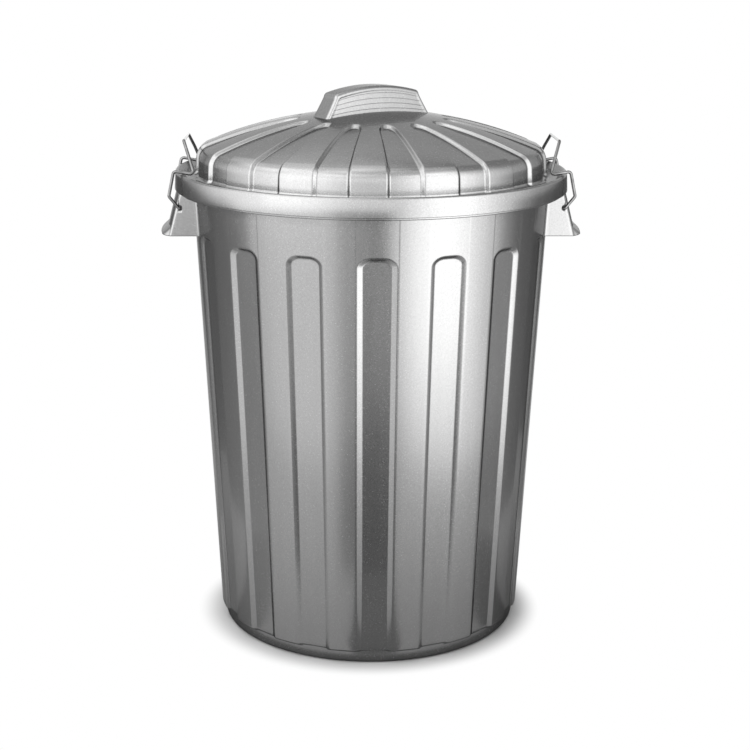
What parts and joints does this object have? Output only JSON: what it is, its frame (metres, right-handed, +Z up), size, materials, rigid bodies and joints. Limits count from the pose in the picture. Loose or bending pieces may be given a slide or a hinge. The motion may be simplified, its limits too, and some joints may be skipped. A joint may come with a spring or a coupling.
{
  "type": "trash can",
  "caption": "Round fluted plastic trash can with a domed lift-off lid, moulded grip handles at the rim and wire clips that hook over the lid.",
  "frame": {"origin": "centre of the underside of the base, on the axis of the bin", "axes": "+Z up along the axis of the bin, +X through the right handle, -Y towards the viewer"},
  "size_m": [0.5366, 0.5, 0.703],
  "materials": {
    "silver_plastic": "satin silver with fine metallic flake in the moulding",
    "clip_wire": "bright drawn steel wire"
  },
  "bodies": {
    "bin": {"bin_body": "silver_plastic"},
    "lid": {"lid": "silver_plastic"},
    "clip_left": {"clip_left": "clip_wire"},
    "clip_right": {"clip_right": "clip_wire"}
  },
  "joints": [
    {"name": "lid_lift", "type": "slide", "parent": "bin", "child": "lid", "axis": [0, 0, 1], "range_m": [0, 0.6]},
    {"name": "clip_left_swing", "type": "hinge", "parent": "bin", "child": "clip_left", "pos_m": [-0.23997, 0, 0.5551], "axis": [0, -1, 0], "range_deg": [0, 180]},
    {"name": "clip_right_swing", "type": "hinge", "parent": "bin", "child": "clip_right", "pos_m": [0.23997, 0, 0.5551], "axis": [0, 1, 0], "range_deg": [0, 180]}
  ]
}
